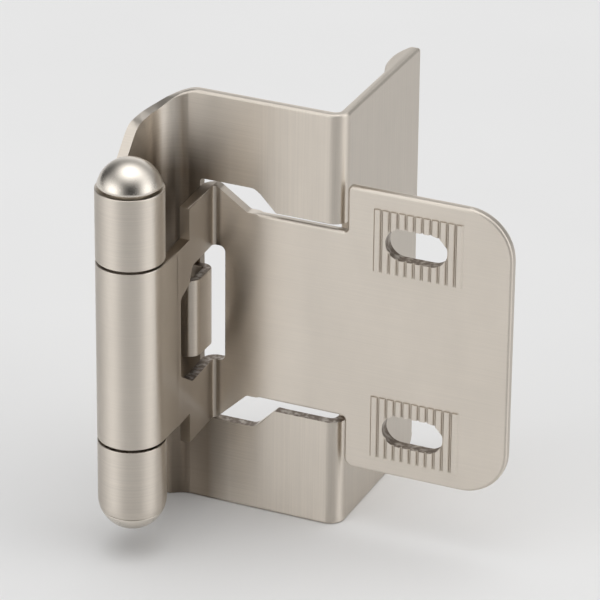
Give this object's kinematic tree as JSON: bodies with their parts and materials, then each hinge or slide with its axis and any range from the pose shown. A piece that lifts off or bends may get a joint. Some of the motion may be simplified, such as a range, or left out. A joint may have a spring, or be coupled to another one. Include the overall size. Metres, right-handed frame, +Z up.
{
  "type": "partial-wrap overlay cabinet hinge",
  "caption": "Decorative self-closing cabinet hinge: a wing that wraps the face frame's stile, a slotted door leaf, and a rolled barrel with a domed pin, in brushed satin nickel.",
  "frame": {"origin": "middle of the wing's two screw holes, on the flange face that lies against the stile's edge", "axes": "+X out of the flange's screw heads, along the closed leaves and away from the barrel; +Y into the cabinet; +Z up along the pin"},
  "size_m": [0.0474, 0.0435, 0.056],
  "materials": {
    "satin_nickel": "steel sheet plated in satin nickel, brushed",
    "turned_nickel": "turned steel plated in satin nickel",
    "spring_strip": "thin spring steel strip, nickel plated"
  },
  "bodies": {
    "wing": {"frame_wing": "satin_nickel", "hinge_pin": "turned_nickel", "bottom_tip": "turned_nickel", "closing_spring": "spring_strip"},
    "leaf": {"door_leaf": "satin_nickel"}
  },
  "joints": [
    {"name": "leaf_hinge", "type": "hinge", "parent": "wing", "child": "leaf", "pos_m": [-0.0198, -0.025, 0], "axis": [0, 0, -1], "range_deg": [0, 170], "stiffness_Nm_per_rad": 0.02}
  ]
}
